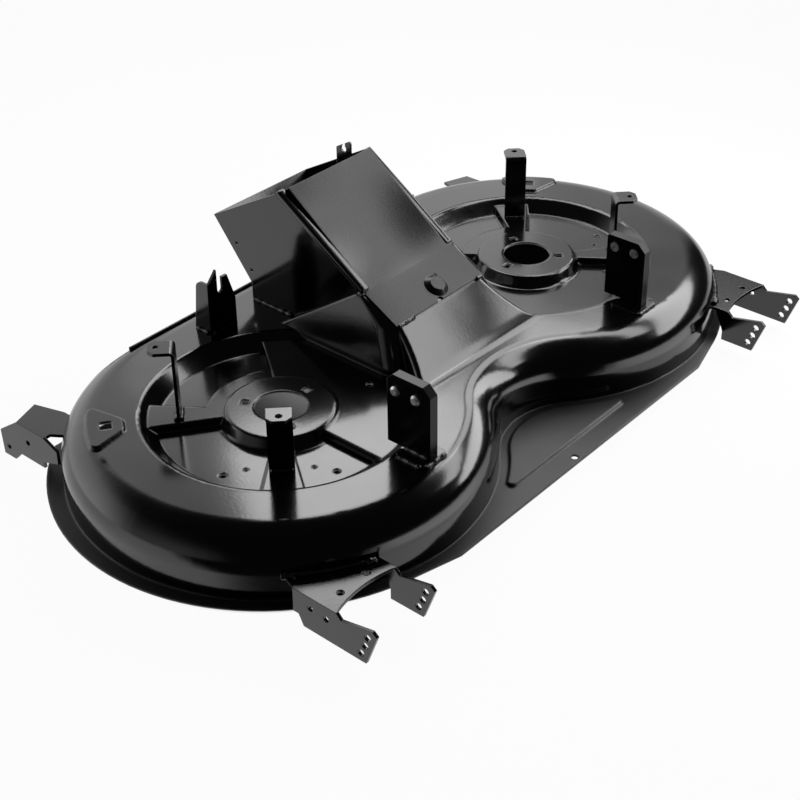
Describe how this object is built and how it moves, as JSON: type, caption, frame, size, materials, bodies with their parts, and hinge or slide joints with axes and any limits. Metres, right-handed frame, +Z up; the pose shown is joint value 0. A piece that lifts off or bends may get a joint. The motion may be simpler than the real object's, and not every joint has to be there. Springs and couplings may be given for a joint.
{
  "type": "lawn mower deck",
  "caption": "Twin-lobe pressed steel mower deck with spindle pans, a raised rear discharge chute, lift plates, straps, hangers and welded wheel brackets.",
  "frame": {"origin": "middle of the deck's plan box, on the ground plane under the rear feet", "axes": "+X along the line through both spindles towards the hook's side, +Y to the rear, +Z up"},
  "size_m": [1.0638, 0.629, 0.2809],
  "materials": {
    "deck_paint": "gloss black paint",
    "chute_paint": "gloss black paint",
    "bracket_paint": "gloss black paint",
    "rivet_steel": "bright plated"
  },
  "bodies": {
    "root": {"deck_shell": "deck_paint", "rear_plate": "deck_paint", "chute_side_left": "chute_paint", "chute_side_right": "chute_paint", "chute_rear_wall": "chute_paint", "chute_cover": "chute_paint", "chute_hook": "chute_paint", "rear_hanger_left": "bracket_paint", "rear_hanger_right": "bracket_paint", "rear_strap_left": "bracket_paint", "rear_strap_right": "bracket_paint", "front_strap_left": "bracket_paint", "front_strap_right": "bracket_paint", "lift_foot_left": "bracket_paint", "lift_foot_right": "bracket_paint", "lift_plate_left": "bracket_paint", "lift_plate_right": "bracket_paint", "front_wheel_bracket_left": "bracket_paint", "front_wheel_bracket_right": "bracket_paint", "rear_wheel_bracket_left": "bracket_paint", "rear_wheel_bracket_right": "bracket_paint", "lift_plate_rivets": "rivet_steel"}
  },
  "joints": []
}
